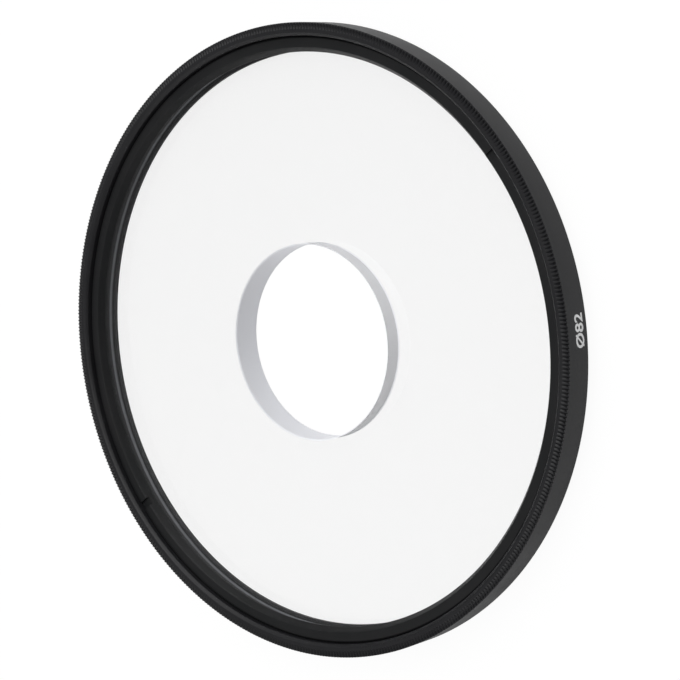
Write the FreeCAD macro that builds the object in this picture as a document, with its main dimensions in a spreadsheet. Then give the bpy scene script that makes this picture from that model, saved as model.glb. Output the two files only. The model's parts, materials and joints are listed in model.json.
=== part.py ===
"""A screw-in camera filter with a hole through the middle of its glass, in millimetres.

Three pieces lie on one optical axis, +Z, with the front of the filter up:
a turned aluminium ring, a thick glass disc that rests on the ring's rear ledge,
and a thin threaded ring that clamps the glass from the front.
The origin is on the axis, at the rear end of the mounting thread.
"""
import FreeCAD, Part
import Sketcher
import os

PARTS_FOLDER = "parts"
FULL_TURN = 360
TOLERANCE = 1e-6

# Driving dimensions, in millimetres unless the name says otherwise.
SIZES = {
    "filter_size": 82.0,
    "shoulder_width": 1.5,
    "thread_length": 2.1,
    "thread_wall": 1.5,
    "thread_end_bevel": 0.3,
    "seat_thickness": 0.5,
    "seat_ledge": 0.5,
    "glass_thickness": 4.3,
    "glass_clearance": 0.1,
    "glass_bevel": 0.2,
    "hole_diameter": 26.3,
    "hole_bevel": 0.15,
    "retainer_step": 1.25,
    "retainer_clearance": 0.05,
    "retainer_thickness": 1.0,
    "retainer_overlap": 0.75,
    "retainer_land": 0.1,
    "retainer_cone_width": 0.6,
    "retainer_edge_bevel": 0.25,
    "retainer_undercut": 0.2,
    "slot_width": 1.2,
    "slot_depth": 0.4,
    "slot_count": 2,
    "front_recess": 0.9,
    "lip_bevel": 0.42,
    "rim_bevel_width": 0.4,
    "rim_bevel_height": 0.4,
    "rear_edge_bevel": 0.2,
}


def size(name):
    """Return the expression that reads one driving dimension."""
    return "Sizes." + name


# Radii, from the optical axis outwards.
HOLE_RADIUS = f"({size('hole_diameter')} / 2)"
THREAD_RADIUS = f"({size('filter_size')} / 2)"
RIM_RADIUS = f"({THREAD_RADIUS} + {size('shoulder_width')})"
BORE_RADIUS = f"({THREAD_RADIUS} - {size('thread_wall')})"
GLASS_RADIUS = f"({BORE_RADIUS} - {size('glass_clearance')})"
LEDGE_RADIUS = f"({GLASS_RADIUS} - {size('seat_ledge')})"
FRONT_BORE_RADIUS = f"({BORE_RADIUS} + {size('retainer_step')})"
RETAINER_RADIUS = f"({FRONT_BORE_RADIUS} - {size('retainer_clearance')})"
RETAINER_LIP_RADIUS = f"({GLASS_RADIUS} - {size('retainer_overlap')})"

# Heights above the rear end of the mounting thread.
GLASS_REAR = size("seat_thickness")
GLASS_FRONT = f"({GLASS_REAR} + {size('glass_thickness')})"
RETAINER_FRONT = f"({GLASS_FRONT} + {size('retainer_thickness')})"
RIM_FRONT = f"({RETAINER_FRONT} + {size('front_recess')})"
UNDERCUT_FLOOR = f"({GLASS_FRONT} - {size('retainer_undercut')})"


def make_sheet(doc):
    """Write every driving dimension to a sheet, with its name beside it."""
    sheet = doc.addObject("Spreadsheet::Sheet", "Sizes")
    for row, (name, value) in enumerate(SIZES.items(), start=1):
        sheet.set(f"A{row}", name)
        sheet.set(f"B{row}", str(value))
        sheet.setAlias(f"B{row}", name)
    doc.recompute()
    return sheet


def origin_feature(body, role):
    """Return the body's own origin plane or axis with the given role."""
    return next(item for item in body.Origin.OriginFeatures if item.Role == role)


def make_sketch(body, name, plane):
    """Attach an empty sketch to one of the body's own origin planes."""
    sketch = body.newObject("Sketcher::SketchObject", name)
    sketch.AttachmentSupport = (origin_feature(body, plane), "")
    sketch.MapMode = "FlatFace"
    return sketch


def draw_outline(sketch, corners):
    """Draw a closed outline whose corners are pairs of expressions, each one bound to the sheet."""
    origin = (-1, 1)
    horizontal_axis = -1
    line_start, line_end = 1, 2
    places = [tuple(sketch.evalExpression(text) for text in corner) for corner in corners]
    points = [FreeCAD.Vector(float(across), float(up), 0) for across, up in places]
    count = len(points)
    for index, point in enumerate(points):
        sketch.addGeometry(Part.LineSegment(point, points[(index + 1) % count]), False)
    for index in range(count):
        following = (index + 1) % count
        sketch.addConstraint(Sketcher.Constraint("Coincident", index, line_end, following, line_start))
    for index, (across, up) in enumerate(corners):
        for kind, text, value in (("DistanceX", across, points[index].x), ("DistanceY", up, points[index].y)):
            if kind == "DistanceY" and abs(value) < TOLERANCE:
                rule = Sketcher.Constraint("PointOnObject", index, line_start, horizontal_axis)
                sketch.addConstraint(rule)
                continue
            rule = Sketcher.Constraint(kind, *origin, index, line_start, value)
            number = sketch.addConstraint(rule)
            label = f"{kind}_{index}"
            sketch.renameConstraint(number, label)
            sketch.setExpression(f"Constraints.{label}", text)


def turn(body, name, corners):
    """Turn a half-section, given as radius and height, a full circle about the optical axis."""
    sketch = make_sketch(body, name + "_section", "XZ_Plane")
    draw_outline(sketch, corners)
    turned = body.newObject("PartDesign::Revolution", name)
    turned.Profile = sketch
    turned.ReferenceAxis = (sketch, ["V_Axis"])
    turned.Angle = FULL_TURN
    return turned


def make_body(doc, label):
    """Start one named piece."""
    body = doc.addObject("PartDesign::Body", label)
    body.Label = label
    return body


def make_filter_ring(doc):
    """The turned ring: rear thread, glass seat and bore, front bore and bevelled rim."""
    ring = make_body(doc, "filter_ring")
    turn(ring, "turned_ring", [
        (LEDGE_RADIUS, "0"),
        (f"{THREAD_RADIUS} - {size('thread_end_bevel')}", "0"),
        (THREAD_RADIUS, size("thread_end_bevel")),
        (THREAD_RADIUS, size("thread_length")),
        (f"{RIM_RADIUS} - {size('rear_edge_bevel')}", size("thread_length")),
        (RIM_RADIUS, f"{size('thread_length')} + {size('rear_edge_bevel')}"),
        (RIM_RADIUS, f"{RIM_FRONT} - {size('rim_bevel_height')}"),
        (f"{RIM_RADIUS} - {size('rim_bevel_width')}", RIM_FRONT),
        (f"{FRONT_BORE_RADIUS} + {size('lip_bevel')}", RIM_FRONT),
        (FRONT_BORE_RADIUS, f"{RIM_FRONT} - {size('lip_bevel')}"),
        (FRONT_BORE_RADIUS, UNDERCUT_FLOOR),
        (BORE_RADIUS, UNDERCUT_FLOOR),
        (BORE_RADIUS, GLASS_REAR),
        (LEDGE_RADIUS, GLASS_REAR),
    ])
    return ring


def make_center_glass(doc):
    """The flat glass disc with its centre hole and the ground bevels on its four edges."""
    glass = make_body(doc, "center_glass")
    turn(glass, "ground_disc", [
        (f"{HOLE_RADIUS} + {size('hole_bevel')}", GLASS_REAR),
        (f"{GLASS_RADIUS} - {size('glass_bevel')}", GLASS_REAR),
        (GLASS_RADIUS, f"{GLASS_REAR} + {size('glass_bevel')}"),
        (GLASS_RADIUS, f"{GLASS_FRONT} - {size('glass_bevel')}"),
        (f"{GLASS_RADIUS} - {size('glass_bevel')}", GLASS_FRONT),
        (f"{HOLE_RADIUS} + {size('hole_bevel')}", GLASS_FRONT),
        (HOLE_RADIUS, f"{GLASS_FRONT} - {size('hole_bevel')}"),
        (HOLE_RADIUS, f"{GLASS_REAR} + {size('hole_bevel')}"),
    ])
    return glass


def make_retaining_ring(doc):
    """The threaded ring on the glass: a cone inside, a bevel outside and slots for a spanner."""
    retainer = make_body(doc, "retaining_ring")
    turned = turn(retainer, "turned_retainer", [
        (RETAINER_LIP_RADIUS, GLASS_FRONT),
        (RETAINER_RADIUS, GLASS_FRONT),
        (RETAINER_RADIUS, f"{RETAINER_FRONT} - {size('retainer_edge_bevel')}"),
        (f"{RETAINER_RADIUS} - {size('retainer_edge_bevel')}", RETAINER_FRONT),
        (f"{RETAINER_LIP_RADIUS} + {size('retainer_cone_width')}", RETAINER_FRONT),
        (RETAINER_LIP_RADIUS, f"{GLASS_FRONT} + {size('retainer_land')}"),
    ])
    doc.recompute()
    slot_sketch = make_sketch(retainer, "slot_outline", "XY_Plane")
    slot_sketch.setExpression("AttachmentOffset.Base.z", RETAINER_FRONT)
    half_width = f"({size('slot_width')} / 2)"
    slot_start = f"({RETAINER_LIP_RADIUS} / 2)"
    slot_end = f"({RETAINER_RADIUS} + {size('slot_width')})"
    draw_slot(slot_sketch, slot_start, slot_end, half_width)
    slot = retainer.newObject("PartDesign::Pocket", "spanner_slot")
    slot.Profile = slot_sketch
    slot.setExpression("Length", size("slot_depth"))
    doc.recompute()
    check_cut(turned, slot)
    pattern = retainer.newObject("PartDesign::PolarPattern", "spanner_slots")
    pattern.Originals = [slot]
    pattern.Axis = (origin_feature(retainer, "Z_Axis"), [""])
    pattern.Angle = FULL_TURN
    pattern.setExpression("Occurrences", size("slot_count"))
    retainer.Tip = pattern
    return retainer


def draw_slot(sketch, start, end, half_width):
    """Draw the slot's rectangle, which lies along X and is centred on it."""
    left = float(sketch.evalExpression(start))
    right = float(sketch.evalExpression(end))
    half = float(sketch.evalExpression(half_width))
    points = [
        FreeCAD.Vector(left, -half, 0),
        FreeCAD.Vector(right, -half, 0),
        FreeCAD.Vector(right, half, 0),
        FreeCAD.Vector(left, half, 0),
    ]
    for index, point in enumerate(points):
        sketch.addGeometry(Part.LineSegment(point, points[(index + 1) % len(points)]), False)
    bottom, far_side, top, near_side = range(len(points))
    start_point, end_point = 1, 2
    x_axis = -1
    origin = (-1, 1)
    for line, following in ((bottom, far_side), (far_side, top), (top, near_side), (near_side, bottom)):
        sketch.addConstraint(Sketcher.Constraint("Coincident", line, end_point, following, start_point))
    sketch.addConstraint(Sketcher.Constraint("Horizontal", bottom))
    sketch.addConstraint(Sketcher.Constraint("Horizontal", top))
    sketch.addConstraint(Sketcher.Constraint("Vertical", near_side))
    symmetric = Sketcher.Constraint("Symmetric", far_side, start_point, far_side, end_point, x_axis)
    sketch.addConstraint(symmetric)
    across = Sketcher.Constraint("DistanceY", far_side, start_point, far_side, end_point, 2 * half)
    bound = (
        (across, "width", f"2 * {half_width}"),
        (Sketcher.Constraint("DistanceX", *origin, near_side, end_point, left), "near_end", start),
        (Sketcher.Constraint("DistanceX", *origin, far_side, start_point, right), "far_end", end),
    )
    for rule, label, text in bound:
        sketch.renameConstraint(sketch.addConstraint(rule), label)
        sketch.setExpression(f"Constraints.{label}", text)


def check_cut(before, after):
    """Stop if a cut took nothing away."""
    if after.Shape.Volume >= before.Shape.Volume - TOLERANCE:
        raise RuntimeError(f"{after.Label} cuts nothing")


def check_objects(doc):
    """Stop if any object failed to compute."""
    for item in doc.Objects:
        if "Invalid" in item.State or "Error" in item.State:
            raise RuntimeError(f"{item.Label} failed: {item.State}")


def check_piece(piece):
    """Stop if a piece has no shape, a broken shape or more than one solid."""
    shape = piece.Shape
    if shape.isNull() or not shape.isValid() or len(shape.Solids) != 1:
        raise RuntimeError(f"{piece.Label} is not one valid solid")


def main():
    """Build the three pieces, check them and write each one to its own file."""
    doc = FreeCAD.newDocument("center_spot_filter")
    make_sheet(doc)
    pieces = [make_filter_ring(doc), make_center_glass(doc), make_retaining_ring(doc)]
    doc.recompute()
    check_objects(doc)
    os.makedirs(PARTS_FOLDER, exist_ok=True)
    for piece in pieces:
        check_piece(piece)
    for piece in pieces:
        piece.Shape.exportStep(os.path.join(PARTS_FOLDER, piece.Label + ".step"))
        box = piece.Shape.BoundBox
        print(f"{piece.Label}: volume {piece.Shape.Volume:.1f} mm3, "
              f"height {box.ZMin:.2f} to {box.ZMax:.2f}, width {box.XLength:.2f}")


main()
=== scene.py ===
"""A screw-in camera filter: a black ring with a thread behind, and in it a clear glass disc with a hole.

The solid model gives the sizes. Here each of its three pieces is made again as a fine surface: the ring
with its knurled front edge and its cut thread, the retaining ring with its spanner slots, and the glass
with polished faces and ground edges. A printed size mark is added on the ring's wall.
"""
import json
import math

import bmesh
import bpy
import numpy as np
from mathutils import Matrix, Vector


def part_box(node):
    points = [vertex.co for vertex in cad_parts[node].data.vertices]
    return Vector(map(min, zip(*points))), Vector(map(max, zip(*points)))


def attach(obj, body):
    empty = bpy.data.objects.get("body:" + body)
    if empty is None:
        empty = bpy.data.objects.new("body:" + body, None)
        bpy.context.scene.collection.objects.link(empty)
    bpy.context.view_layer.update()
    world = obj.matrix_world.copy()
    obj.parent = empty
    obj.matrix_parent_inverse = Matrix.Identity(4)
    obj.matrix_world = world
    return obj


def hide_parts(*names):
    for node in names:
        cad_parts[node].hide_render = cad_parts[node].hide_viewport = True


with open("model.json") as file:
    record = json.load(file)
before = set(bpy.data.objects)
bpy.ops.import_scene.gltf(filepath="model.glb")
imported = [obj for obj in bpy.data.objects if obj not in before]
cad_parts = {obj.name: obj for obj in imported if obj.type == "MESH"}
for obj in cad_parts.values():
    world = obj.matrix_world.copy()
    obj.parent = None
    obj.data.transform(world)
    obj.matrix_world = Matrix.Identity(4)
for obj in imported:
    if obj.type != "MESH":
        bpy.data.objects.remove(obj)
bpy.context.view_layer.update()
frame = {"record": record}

MM = 0.001
FULL_TURN = 2 * math.pi

# Sizes from the solid model, in metres
_, RING_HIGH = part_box("filter_ring")
_, RETAINER_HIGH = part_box("retaining_ring")
GLASS_LOW, GLASS_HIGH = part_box("center_glass")
MOUNTS = {mount["name"]: mount for mount in frame["record"]["mounts"]}
RIM_RADIUS = RING_HIGH.x
RING_HEIGHT = RING_HIGH.z
THREAD_RADIUS = MOUNTS["rear_thread"]["dims"]["r_mm"] * MM
HOLE_RADIUS = MOUNTS["center_hole"]["dims"]["r_mm"] * MM
SHOULDER_HEIGHT = MOUNTS["rear_shoulder"]["pos_m"][2]
GLASS_RADIUS = GLASS_HIGH.x
GLASS_REAR = GLASS_LOW.z
GLASS_FRONT = GLASS_HIGH.z
RETAINER_RADIUS = RETAINER_HIGH.x
RETAINER_FRONT = RETAINER_HIGH.z

# Meshes: CRISP_ANGLE is in degrees, and EDGE_STEPS is the number of steps in a rounded corner
CONTACT_GAP = 0.01 * MM
SEAM_DISTANCE = 0.0005 * MM
CRISP_ANGLE = 32
EDGE_STEPS = 2

# Filter ring
RETAINER_CLEARANCE = 0.05 * MM
RETAINER_BORE = RETAINER_RADIUS + RETAINER_CLEARANCE
GLASS_CLEARANCE = 0.1 * MM
SEAT_RADIUS = GLASS_RADIUS + GLASS_CLEARANCE
SEAT_LEDGE = 0.6 * MM
RETAINER_UNDERCUT = 0.2 * MM
LIP_BEVEL = 0.42 * MM
REAR_EDGE_BEVEL = 0.2 * MM
EDGE_BREAK = 0.05 * MM

# Knurl: straight V notches cut across the front edge, with rounded crests between them
NOTCH_COUNT = 530
NOTCH_SHARE = 0.84
NOTCH_REACH = 0.9 * MM
NOTCH_DROP = 0.28 * MM
NOTCH_BEND_REACH = 0.35 * MM
NOTCH_BEND_DROP = 0.4 * MM
NOTCH_STEPS = (0, 0.3, 0.5, 0.7, 1)
CREST_REACH = 0.32 * MM
CREST_DROP = 0.2 * MM
CREST_MIDDLE = 0.5

# Rear thread, M82 x 0.75, 60 degrees between its sides: its depth and flats are shares of the pitch
THREAD_PITCH = 0.75 * MM
THREAD_DEPTH_SHARE = 0.5413
THREAD_DEPTH = THREAD_DEPTH_SHARE * THREAD_PITCH
THREAD_CREST_HALF = 1 / 16
THREAD_ROOT_START = 3 / 8
THREAD_END_BEVEL = 0.3 * MM
THREAD_ROW_STEP = 0.075 * MM
THREAD_RUNOUT = 0.3 * MM
THREAD_RELIEF = THREAD_RUNOUT / 3

# Retaining ring
RETAINER_INNER_RADIUS = 38.65 * MM
RETAINER_LAND = 0.1 * MM
RETAINER_CONE_WIDTH = 0.6 * MM
RETAINER_EDGE_BEVEL = 0.25 * MM
RETAINER_COLUMNS = 360
SLOT_COUNT = 2
SLOT_WIDTH = 1.2 * MM
SLOT_DEPTH = 0.4 * MM

# The five columns of points across a slot: the side of its middle each is on, and if it is cut down
SLOT_SIDES = (-1, -1, 0, 1, 1)
SLOT_CUTS = (False, True, True, True, False)

# Glass
HOLE_BEVEL = 0.15 * MM
GLASS_BEVEL = 0.2 * MM
GLASS_COLUMNS = 360

# Size mark, printed on the wall: a capital takes its share of the font's size
MARK_TEXT = "Ø82"
MARK_HEIGHT = 1.75 * MM
CAPITAL_SHARE = 0.73
MARK_STROKE_SPREAD = 0.05 * MM
MARK_THICKNESS = 0.02 * MM
MARK_CURVE_STEPS = 6
MARK_AZIMUTH = -34.0
MARK_MIDDLE_HEIGHT = 3.85 * MM

# Materials: the refraction of crown glass, and the values that noise mostly stays between
CROWN_GLASS_IOR = 1.517
NOISE_LOW = 0.3
NOISE_HIGH = 0.7
WHITE = (1.0, 1.0, 1.0, 1.0)

# Places of the colour sockets on a Mix node, whose other sockets have the same names
COLOUR_A = 6
COLOUR_B = 7
COLOUR_OUT = 2

# Photograph: where the camera stood, with angles in degrees and the lens and sensor in millimetres
SENSOR_WIDTH = 36.0
CAMERA_LENS = 114.58
CAMERA_AZIMUTH = 61.75
CAMERA_ELEVATION = 50.161
CAMERA_ROLL = -99.842
CAMERA_DISTANCE = 288.65 * MM
CAMERA_AIM = Vector((3.430, -2.275, 3.369)) * MM
CAMERA_CLIP_START = 10 * MM

# Lamps: square softboxes that face the origin, with place and side in metres and power in watts
KEY_PLACE = (0.52, 0.633, 0.574)
KEY_SIDE = 0.7
KEY_POWER = 2.5
OVERHEAD_PLACE = (0.3, 0.1, 0.95)
OVERHEAD_SIDE = 0.8
OVERHEAD_POWER = 4.5

# Floor: half the side of the paper, in metres
FLOOR_HALF = 3.0

# Room light: each patch has its direction, the cosine from it at which the light starts, and its strength
DIM_LEVEL = 0.22
WINDOW = ((0.58, 0.643, 0.5), 0.5, 0.55)
FAR_WALL = ((-0.863, -0.498, 0.087), 0.2, 0.7)
FULL_COSINE = 0.95


def linear(hex_colour):
    """An sRGB hex colour as linear red, green, blue and alpha."""
    parts = [int(hex_colour[i:i + 2], 16) / 255 for i in (1, 3, 5)]
    return [c / 12.92 if c <= 0.04045 else ((c + 0.055) / 1.055) ** 2.4 for c in parts] + [1.0]


def put(tree, kind, inputs=None, **settings):
    """Adds a node. settings are its own properties, and inputs are values or the sockets that feed it."""
    node = tree.nodes.new(kind)
    for name, value in settings.items():
        setattr(node, name, value)
    for name, value in (inputs or {}).items():
        if isinstance(value, bpy.types.NodeSocket):
            tree.links.new(value, node.inputs[name])
        else:
            node.inputs[name].default_value = value
    return node


def new_material(name, values):
    """A material, its node tree and its main shader, whose own sockets hold the given values."""
    material = bpy.data.materials.new(name)
    material.use_nodes = True
    shader = material.node_tree.nodes["Principled BSDF"]
    for socket, value in values.items():
        shader.inputs[socket].default_value = value
    return material, material.node_tree, shader


def add_object(name, data):
    """Puts a mesh, a curve, a lamp or a camera in the scene, at the origin."""
    added = bpy.data.objects.new(name, data)
    bpy.context.scene.collection.objects.link(added)
    return added


def quadratic(start, bend, end, share):
    """The point at a share of the way along the quadratic curve that leaves start towards bend and comes
    from bend to end."""
    return (1 - share) ** 2 * start + 2 * share * (1 - share) * bend + share ** 2 * end


def rounded(corners, breaks):
    """A closed outline whose corners are arcs: each corner is swapped for points on a quadratic curve that
    starts and ends on its two sides, the corner's break away from it. A break of 0 keeps the corner."""
    outline = []
    for i, corner in enumerate(corners):
        here = np.array(corner, float)
        if breaks[i] == 0:
            outline.append(here)
            continue
        before = np.array(corners[i - 1], float) - here
        after = np.array(corners[(i + 1) % len(corners)], float) - here
        start = here + before / np.linalg.norm(before) * breaks[i]
        end = here + after / np.linalg.norm(after) * breaks[i]
        outline += [quadratic(start, here, end, share) for share in np.linspace(0, 1, EDGE_STEPS + 1)]
    return np.array(outline)


def close_seams(mesh):
    """Joins the corners of a mesh that fall in one place, so that its surface is closed."""
    work = bmesh.new()
    work.from_mesh(mesh)
    bmesh.ops.remove_doubles(work, verts=work.verts, dist=SEAM_DISTANCE)
    work.to_mesh(mesh)
    work.free()


def piece_of(name, points, faces, materials, slots=None):
    """A mesh piece from an array of corners and an array of four-cornered faces. It is shaded smooth, and
    edges that turn by more than the crisp angle stay crisp. slots says which material each face takes."""
    mesh = bpy.data.meshes.new(name)
    mesh.from_pydata(points.reshape(-1, 3), [], faces.reshape(-1, 4))
    for material in materials:
        mesh.materials.append(material)
    if slots is not None:
        mesh.polygons.foreach_set("material_index", slots.reshape(-1))
    close_seams(mesh)
    mesh.shade_smooth()
    mesh.set_sharp_from_angle(angle=math.radians(CRISP_ANGLE))
    return add_object(name, mesh)


def grid_faces(rows, columns):
    """Faces of a closed grid: row by row along the outline, and column by column round the axis."""
    row = np.arange(rows)[:, None]
    column = np.arange(columns)[None, :]
    next_row = (row + 1) % rows
    next_column = (column + 1) % columns
    corners = [row * columns + column, row * columns + next_column,
               next_row * columns + next_column, next_row * columns + column]
    return np.stack(np.broadcast_arrays(*corners), axis=-1)


def turned(radius, height, angle):
    """Points of a turned surface: each has its radius, its height and its angle round the axis."""
    radius, height, angle = np.broadcast_arrays(radius, height, angle)
    return np.stack([radius * np.cos(angle), radius * np.sin(angle), height], axis=-1)


def thread_radius(height, angle):
    """Radius of the male thread: a right-handed helix whose crests and roots are flat and whose sides are
    straight. Its phase is the height in pitches less the angle in turns, and is a half on a crest."""
    phase = np.mod(height / THREAD_PITCH - angle / FULL_TURN, 1)
    from_crest = np.abs(phase - 0.5)
    share = np.clip((THREAD_ROOT_START - from_crest) / (THREAD_ROOT_START - THREAD_CREST_HALF), 0, 1)
    return THREAD_RADIUS - THREAD_DEPTH * (1 - share)


def make_filter_ring(material):
    """The ring: its outline is turned about the axis. The thread's rows swell and shrink with the helix.
    Each notch of the knurl has three columns of points, one at its bottom and one at each side. At the
    crests between notches the front edge is a small arc from the wall to the front face. At a notch's
    bottom it is a wider, hollow quadratic curve, from further down the wall to further in on the face, so
    that both ends of the notch taper out."""
    column_share = np.array([0.0, NOTCH_SHARE / 2, 1 - NOTCH_SHARE / 2])
    angle = ((np.arange(NOTCH_COUNT)[:, None] + column_share) / NOTCH_COUNT * FULL_TURN).reshape(-1)
    in_notch = np.tile(np.array([True, False, False]), NOTCH_COUNT)

    seat_height = GLASS_REAR - CONTACT_GAP
    step_height = GLASS_FRONT - RETAINER_UNDERCUT
    ledge_radius = SEAT_RADIUS - SEAT_LEDGE
    lip_radius = RETAINER_BORE + LIP_BEVEL
    root_radius = THREAD_RADIUS - THREAD_DEPTH
    inside = rounded(
        [(lip_radius, RING_HEIGHT), (RETAINER_BORE, RING_HEIGHT - LIP_BEVEL),
         (RETAINER_BORE, step_height), (SEAT_RADIUS, step_height), (SEAT_RADIUS, seat_height),
         (ledge_radius, seat_height), (ledge_radius, 0.0), (root_radius - EDGE_BREAK, 0.0)],
        [EDGE_BREAK, EDGE_BREAK, 0, 0, 0, EDGE_BREAK, EDGE_BREAK, 0])
    outside = rounded(
        [(root_radius, SHOULDER_HEIGHT - THREAD_RELIEF), (root_radius, SHOULDER_HEIGHT),
         (RIM_RADIUS - REAR_EDGE_BEVEL, SHOULDER_HEIGHT), (RIM_RADIUS, SHOULDER_HEIGHT + REAR_EDGE_BEVEL),
         (RIM_RADIUS, RING_HEIGHT - NOTCH_DROP - EDGE_BREAK)],
        [0, 0, EDGE_BREAK, EDGE_BREAK, 0])

    corner = np.array((RIM_RADIUS, RING_HEIGHT))
    notch_foot = np.array((RIM_RADIUS, RING_HEIGHT - NOTCH_DROP))
    notch_bend = corner - np.array((NOTCH_BEND_REACH, NOTCH_BEND_DROP))
    notch_end = np.array((RIM_RADIUS - NOTCH_REACH, RING_HEIGHT))
    notch_line = [quadratic(notch_foot, notch_bend, notch_end, share) for share in NOTCH_STEPS]
    crest_foot = np.array((RIM_RADIUS, RING_HEIGHT - CREST_DROP))
    crest_end = np.array((RIM_RADIUS - CREST_REACH, RING_HEIGHT))
    crest_middle = quadratic(crest_foot, corner, crest_end, CREST_MIDDLE)
    crest_line = [notch_foot, crest_foot, crest_middle, crest_end, notch_end]

    thread_heights = np.arange(0, SHOULDER_HEIGHT - THREAD_RUNOUT, THREAD_ROW_STEP)[:, None]
    thread_rows = np.minimum(thread_radius(thread_heights, angle),
                             THREAD_RADIUS - THREAD_END_BEVEL + thread_heights)
    rows = [turned(r, z, angle) for r, z in inside]
    rows += [turned(r, z, angle) for r, z in zip(thread_rows, thread_heights)]
    rows += [turned(r, z, angle) for r, z in outside]
    rows += [turned(np.where(in_notch, notch[0], crest[0]), np.where(in_notch, notch[1], crest[1]), angle)
             for notch, crest in zip(notch_line, crest_line)]
    points = np.stack(rows)
    return piece_of("knurled_ring", points, grid_faces(*points.shape[:2]), [material])


def make_retaining_ring(material):
    """The retaining ring: its outline is turned about the axis. Five columns of points cross each slot: two
    in one place at each side, on a line parallel to the slot, and one in the middle. The inner three are
    cut off at the slot's floor."""
    rear = GLASS_FRONT + CONTACT_GAP
    inner = RETAINER_INNER_RADIUS
    floor = RETAINER_FRONT - SLOT_DEPTH
    cone_foot = GLASS_FRONT + RETAINER_LAND
    cone_top = inner + RETAINER_CONE_WIDTH
    floor_share = (floor - cone_foot) / (RETAINER_FRONT - cone_foot)
    bevel_foot = RETAINER_FRONT - RETAINER_EDGE_BEVEL
    outline = rounded(
        [(inner, rear), (RETAINER_RADIUS, rear), (RETAINER_RADIUS, floor), (RETAINER_RADIUS, bevel_foot),
         (RETAINER_RADIUS - RETAINER_EDGE_BEVEL, RETAINER_FRONT), (cone_top, RETAINER_FRONT),
         (inner + floor_share * RETAINER_CONE_WIDTH, floor), (inner, cone_foot)],
        [0, EDGE_BREAK, 0, 0, EDGE_BREAK, EDGE_BREAK, 0, 0])
    radius, height = outline[:, :1], outline[:, 1:]
    half_slot = np.arcsin(SLOT_WIDTH / 2 / radius)

    column = np.arange(RETAINER_COLUMNS)
    at_slot = column % (RETAINER_COLUMNS // SLOT_COUNT) == 0
    copies = np.where(at_slot, len(SLOT_SIDES), 1)
    column = np.repeat(column, copies)
    at_slot = np.repeat(at_slot, copies)
    side = np.zeros(len(column))
    side[at_slot] = np.tile(SLOT_SIDES, SLOT_COUNT)
    is_cut = np.zeros(len(column), bool)
    is_cut[at_slot] = np.tile(SLOT_CUTS, SLOT_COUNT)
    angle = column / RETAINER_COLUMNS * FULL_TURN + side * half_slot
    points = turned(radius, np.where(is_cut, np.minimum(height, floor), height), angle)
    return piece_of("slotted_retaining_ring", points, grid_faces(*points.shape[:2]), [material])


def make_glass(polished, ground, inked):
    """The glass disc: a ring outline turned about the axis. Its two flat faces are polished. The wall of
    its hole is ground, and so is its outer wall, which is inked black."""
    outline = np.array([
        (HOLE_RADIUS + HOLE_BEVEL, GLASS_REAR), (GLASS_RADIUS - GLASS_BEVEL, GLASS_REAR),
        (GLASS_RADIUS, GLASS_REAR + GLASS_BEVEL), (GLASS_RADIUS, GLASS_FRONT - GLASS_BEVEL),
        (GLASS_RADIUS - GLASS_BEVEL, GLASS_FRONT), (HOLE_RADIUS + HOLE_BEVEL, GLASS_FRONT),
        (HOLE_RADIUS, GLASS_FRONT - HOLE_BEVEL), (HOLE_RADIUS, GLASS_REAR + HOLE_BEVEL)])
    flat_rows, outer_rows = (0, 4), (1, 2, 3)
    polished_slot, ground_slot, inked_slot = range(3)
    angle = np.arange(GLASS_COLUMNS) / GLASS_COLUMNS * FULL_TURN
    points = turned(outline[:, :1], outline[:, 1:], angle)
    slots = np.full(points.shape[:2], ground_slot)
    slots[flat_rows, :] = polished_slot
    slots[outer_rows, :] = inked_slot
    materials = [polished, ground, inked]
    return piece_of("drilled_glass", points, grid_faces(*points.shape[:2]), materials, slots)


def make_size_mark(material):
    """The thread's diameter, as a diameter sign and a number. Flat letters are wrapped round the wall.
    Their length becomes an angle, and their height stands along the axis with the tops to the front."""
    words = bpy.data.curves.new("size_mark", "FONT")
    words.body = MARK_TEXT
    words.align_x = "CENTER"
    words.align_y = "CENTER"
    words.size = MARK_HEIGHT / CAPITAL_SHARE
    words.extrude = MARK_THICKNESS / 2
    words.offset = MARK_STROKE_SPREAD
    words.resolution_u = MARK_CURVE_STEPS
    flat = add_object("size_mark_flat", words)
    graph = bpy.context.evaluated_depsgraph_get()
    mesh = bpy.data.meshes.new_from_object(flat.evaluated_get(graph))
    bpy.data.objects.remove(flat)
    points = np.zeros(len(mesh.vertices) * 3)
    mesh.vertices.foreach_get("co", points)
    along, up, out = points.reshape(-1, 3).T
    angle = math.radians(MARK_AZIMUTH) + along / RIM_RADIUS
    wrapped = turned(RIM_RADIUS + out, MARK_MIDDLE_HEIGHT + up, angle)
    mesh.vertices.foreach_set("co", wrapped.reshape(-1))
    close_seams(mesh)
    mesh.materials.clear()
    mesh.materials.append(material)
    return add_object("size_mark", mesh)


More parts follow.
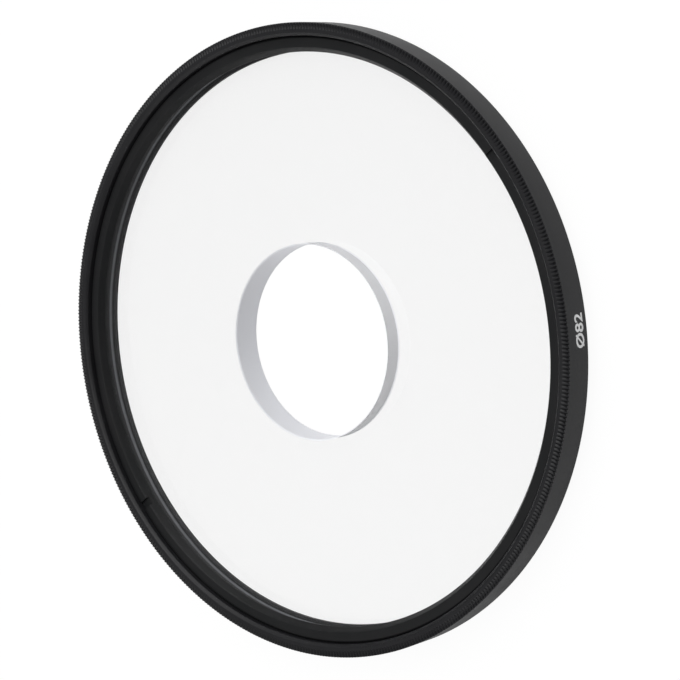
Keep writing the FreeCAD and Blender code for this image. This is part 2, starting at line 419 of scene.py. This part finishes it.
def anodised_aluminium(name, dye, dye_light, roughness, sheen_level):
    """Turned aluminium, bead blasted and then dyed black in its oxide skin. The clear skin covers the metal
    and gives a dim grey satin sheen, with a fine grain, faint rings left by the lathe and slightly uneven
    dye. The grain is drawn coarser than the beads leave it, so that it shows, and the rings' height is a
    share of the grain's."""
    grain_size, grain_depth = 0.16 * MM, 0.008 * MM
    ring_pitch, ring_share = 0.3 * MM, 0.12
    patch_size, unevenness = 6 * MM, 0.04
    material, tree, metal = new_material(name, {"Specular IOR Level": sheen_level})
    place = put(tree, "ShaderNodeTexCoord").outputs["Object"]
    axes = put(tree, "ShaderNodeSeparateXYZ", {0: place})
    flat = put(tree, "ShaderNodeCombineXYZ", {0: axes.outputs["X"], 1: axes.outputs["Y"]})
    radius = put(tree, "ShaderNodeVectorMath", {0: flat.outputs[0]}, operation="LENGTH")
    along = put(tree, "ShaderNodeMath", {0: radius.outputs["Value"], 1: axes.outputs["Z"]}, operation="ADD")
    phase = put(tree, "ShaderNodeMath", {0: along.outputs[0], 1: FULL_TURN / ring_pitch},
                operation="MULTIPLY")
    rings = put(tree, "ShaderNodeMath", {0: phase.outputs[0]}, operation="SINE")
    grain = put(tree, "ShaderNodeTexNoise", {"Vector": place, "Scale": 1 / grain_size, "Detail": 3.0})
    patches = put(tree, "ShaderNodeTexNoise", {"Vector": place, "Scale": 1 / patch_size, "Detail": 4.0})
    height = put(tree, "ShaderNodeMath", {0: rings.outputs[0], 1: ring_share, 2: grain.outputs["Fac"]},
                 operation="MULTIPLY_ADD")
    bump = put(tree, "ShaderNodeBump",
               {"Height": height.outputs[0], "Strength": 1.0, "Distance": grain_depth})
    tree.links.new(bump.outputs["Normal"], metal.inputs["Normal"])
    sheen = put(tree, "ShaderNodeMapRange",
                {"Value": patches.outputs["Fac"], "From Min": NOISE_LOW, "From Max": NOISE_HIGH,
                 "To Min": roughness - unevenness, "To Max": roughness + unevenness})
    tree.links.new(sheen.outputs[0], metal.inputs["Roughness"])
    tint = put(tree, "ShaderNodeMapRange",
               {"Value": patches.outputs["Fac"], "From Min": NOISE_LOW, "From Max": NOISE_HIGH})
    colour = put(tree, "ShaderNodeMix",
                 {"Factor": tint.outputs[0], COLOUR_A: linear(dye), COLOUR_B: linear(dye_light)},
                 data_type="RGBA")
    tree.links.new(colour.outputs[COLOUR_OUT], metal.inputs["Base Color"])
    return material


def let_lamps_through(tree, shader, tint):
    """Glass passes the lamps' light to what lies under it, so a lamp's ray meets a clear shader instead."""
    clear = put(tree, "ShaderNodeBsdfTransparent", {"Color": linear(tint)})
    rays = put(tree, "ShaderNodeLightPath")
    both = put(tree, "ShaderNodeMixShader",
               {0: rays.outputs["Is Shadow Ray"], 1: shader.outputs[0], 2: clear.outputs[0]})
    tree.links.new(both.outputs[0], tree.nodes["Material Output"].inputs["Surface"])


def polished_optical_glass():
    """Crown glass, ground flat and polished: mirror-smooth and almost without colour."""
    material, tree, glass = new_material("polished_optical_glass", {
        "Base Color": linear("#FAFAFA"), "Transmission Weight": 1.0, "IOR": CROWN_GLASS_IOR,
        "Roughness": 0.0})
    let_lamps_through(tree, glass, "#F2F2F2")
    return material


def ground_glass():
    """The glass's sawn and fine-ground edges: a pale satin that scatters the light that comes through. The
    grain is drawn coarser than the grit leaves it, so that it shows."""
    grain_size, grain_depth = 0.12 * MM, 0.02 * MM
    roughness_low, roughness_high = 0.45, 0.6
    material, tree, glass = new_material("ground_glass", {
        "Base Color": linear("#F8F9FE"), "Transmission Weight": 0.35, "IOR": CROWN_GLASS_IOR})
    place = put(tree, "ShaderNodeTexCoord").outputs["Object"]
    grain = put(tree, "ShaderNodeTexNoise", {"Vector": place, "Scale": 1 / grain_size, "Detail": 2.0})
    sheen = put(tree, "ShaderNodeMapRange",
                {"Value": grain.outputs["Fac"], "From Min": NOISE_LOW, "From Max": NOISE_HIGH,
                 "To Min": roughness_low, "To Max": roughness_high})
    tree.links.new(sheen.outputs[0], glass.inputs["Roughness"])
    bump = put(tree, "ShaderNodeBump",
               {"Height": grain.outputs["Fac"], "Strength": 1.0, "Distance": grain_depth})
    tree.links.new(bump.outputs["Normal"], glass.inputs["Normal"])
    let_lamps_through(tree, glass, "#F4F4F4")
    return material


def inked_ground_glass():
    """The disc's outer wall: ground, then inked black by hand so that it doesn't shine into the picture. A
    lighter grey line is painted into the ink near the rear face: a painted highlight."""
    # The painted highlight line: its height, half its width and the distance over which it fades into the
    # ink
    highlight_height, highlight_half, highlight_fade = 1.35 * MM, 0.25 * MM, 0.4 * MM
    grain_size, wander = 0.8 * MM, 0.2 * MM
    material, tree, ink = new_material("inked_ground_glass", {"Roughness": 0.6, "Specular IOR Level": 0.1})
    place = put(tree, "ShaderNodeTexCoord").outputs["Object"]
    height = put(tree, "ShaderNodeSeparateXYZ", {0: place}).outputs["Z"]
    grain = put(tree, "ShaderNodeTexNoise", {"Vector": place, "Scale": 1 / grain_size, "Detail": 3.0})
    edge = put(tree, "ShaderNodeMath", {0: grain.outputs["Fac"], 1: wander, 2: height},
               operation="MULTIPLY_ADD")
    offset = put(tree, "ShaderNodeMath", {0: edge.outputs[0], 1: highlight_height + wander / 2},
                 operation="SUBTRACT")
    away = put(tree, "ShaderNodeMath", {0: offset.outputs[0]}, operation="ABSOLUTE")
    ink_outside_highlight = put(tree, "ShaderNodeMapRange",
                {"Value": away.outputs[0], "From Min": highlight_half, "From Max": highlight_half + highlight_fade})
    # Grey #6A6C70 along the line is a painted highlight; #1C1D1F elsewhere is the black ink
    colour = put(tree, "ShaderNodeMix",
                 {"Factor": ink_outside_highlight.outputs[0], COLOUR_A: linear("#6A6C70"), COLOUR_B: linear("#1C1D1F")},
                 data_type="RGBA")
    tree.links.new(colour.outputs[COLOUR_OUT], ink.inputs["Base Color"])
    return material


def printed_white_ink():
    """Pad-printed epoxy ink: a dull, slightly uneven off-white."""
    patch_size = 0.5 * MM
    material, tree, ink = new_material("printed_white_ink", {"Roughness": 0.55})
    place = put(tree, "ShaderNodeTexCoord").outputs["Object"]
    patches = put(tree, "ShaderNodeTexNoise", {"Vector": place, "Scale": 1 / patch_size, "Detail": 3.0})
    colour = put(tree, "ShaderNodeMix",
                 {"Factor": patches.outputs["Fac"], COLOUR_A: linear("#D2D3D4"),
                  COLOUR_B: linear("#F0F0F0")},
                 data_type="RGBA")
    tree.links.new(colour.outputs[COLOUR_OUT], ink.inputs["Base Color"])
    return material


def studio_paper():
    """Matt white background paper. The camera meets it mostly as plain white, through glass too, and the
    rest of it keeps the filter's shadow."""
    white_share, white_level = 0.92, 1.03
    material, tree, paper = new_material("studio_paper", {
        "Base Color": linear("#E8E8E8"), "Roughness": 0.9, "Specular IOR Level": 0.0})
    white = put(tree, "ShaderNodeEmission", {"Color": WHITE, "Strength": white_level})
    rays = put(tree, "ShaderNodeLightPath")
    seen = put(tree, "ShaderNodeMath",
               {0: rays.outputs["Is Camera Ray"], 1: rays.outputs["Is Transmission Ray"]},
               operation="MAXIMUM")
    share = put(tree, "ShaderNodeMath", {0: seen.outputs[0], 1: white_share}, operation="MULTIPLY")
    both = put(tree, "ShaderNodeMixShader", {0: share.outputs[0], 1: paper.outputs[0], 2: white.outputs[0]})
    tree.links.new(both.outputs[0], tree.nodes["Material Output"].inputs["Surface"])
    return material


def make_floor():
    """A wide sheet of white paper, just under the filter."""
    z = -CONTACT_GAP
    points = [(-FLOOR_HALF, -FLOOR_HALF, z), (FLOOR_HALF, -FLOOR_HALF, z),
              (FLOOR_HALF, FLOOR_HALF, z), (-FLOOR_HALF, FLOOR_HALF, z)]
    mesh = bpy.data.meshes.new("floor")
    mesh.from_pydata(points, [], [(0, 1, 2, 3)])
    mesh.materials.append(studio_paper())
    floor = add_object("floor", mesh)


def make_camera():
    """The photograph's view: the camera stands on a sphere round its aim point, rolled on its own axis."""
    azimuth, elevation = math.radians(CAMERA_AZIMUTH), math.radians(CAMERA_ELEVATION)
    back = Vector((math.sin(azimuth) * math.cos(elevation), -math.cos(azimuth) * math.cos(elevation),
                   math.sin(elevation)))
    data = bpy.data.cameras.new("camera")
    data.lens = CAMERA_LENS
    data.sensor_width = SENSOR_WIDTH
    data.clip_start = CAMERA_CLIP_START
    camera = add_object("camera", data)
    turn = (-back).to_track_quat("-Z", "Y").to_matrix().to_4x4()
    roll = Matrix.Rotation(math.radians(CAMERA_ROLL), 4, "Z")
    camera.matrix_world = Matrix.Translation(CAMERA_AIM + back * CAMERA_DISTANCE) @ turn @ roll
    bpy.context.scene.camera = camera


def softbox(name, place, side, power):
    """A square diffused lamp at a place, which faces the origin."""
    data = bpy.data.lights.new(name, "AREA")
    data.shape = "SQUARE"
    data.size = side
    data.energy = power
    lamp = add_object(name, data)
    lamp.location = place
    lamp.rotation_euler = (-Vector(place)).to_track_quat("-Z", "Y").to_euler()


def make_world():
    """Room light: dim all round, bright in two wide patches, the window and the wall across from it, and
    plain white to the camera. A patch brightens smoothly with the cosine of the angle to its direction."""
    world = bpy.data.worlds.new("studio")
    world.use_nodes = True
    tree = world.node_tree
    bpy.context.scene.world = world
    direction = put(tree, "ShaderNodeTexCoord").outputs["Generated"]
    level = DIM_LEVEL
    for middle, start, strength in (WINDOW, FAR_WALL):
        facing = put(tree, "ShaderNodeVectorMath", {0: direction, 1: middle}, operation="DOT_PRODUCT")
        patch = put(tree, "ShaderNodeMapRange",
                    {"Value": facing.outputs["Value"], "From Min": start, "From Max": FULL_COSINE,
                     "To Max": strength},
                    interpolation_type="SMOOTHSTEP")
        level = put(tree, "ShaderNodeMath", {0: patch.outputs[0], 1: level}, operation="ADD").outputs[0]
    rays = put(tree, "ShaderNodeLightPath")
    seen = put(tree, "ShaderNodeMath", {0: level, 1: rays.outputs["Is Camera Ray"]}, operation="MAXIMUM")
    tree.links.new(seen.outputs[0], tree.nodes["Background"].inputs["Strength"])
    tree.nodes["Background"].inputs["Color"].default_value = WHITE


bpy.context.scene.view_settings.view_transform = "Standard"
make_camera()
make_world()
make_floor()
softbox("key_softbox", KEY_PLACE, KEY_SIDE, KEY_POWER)
softbox("overhead_softbox", OVERHEAD_PLACE, OVERHEAD_SIDE, OVERHEAD_POWER)

ring = make_filter_ring(anodised_aluminium(
    "anodised_aluminium", dye="#1C1C1E", dye_light="#202022", roughness=0.38, sheen_level=0.25))
# The retaining ring's dye is set a shade darker than the ring's: painted shade for its sunken place inside
# the lip
retainer = make_retaining_ring(anodised_aluminium(
    "matt_anodised_aluminium", dye="#191A1B", dye_light="#1E1E1F", roughness=0.42, sheen_level=0.18))
glass = make_glass(polished_optical_glass(), ground_glass(), inked_ground_glass())
mark = make_size_mark(printed_white_ink())

for piece, node, slot in ((ring, "filter_ring", "anodised_ring"),
                          (retainer, "retaining_ring", "anodised_retainer"),
                          (glass, "center_glass", "optical_glass")):
    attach(piece, "root")
    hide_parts(node)
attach(mark, "root")
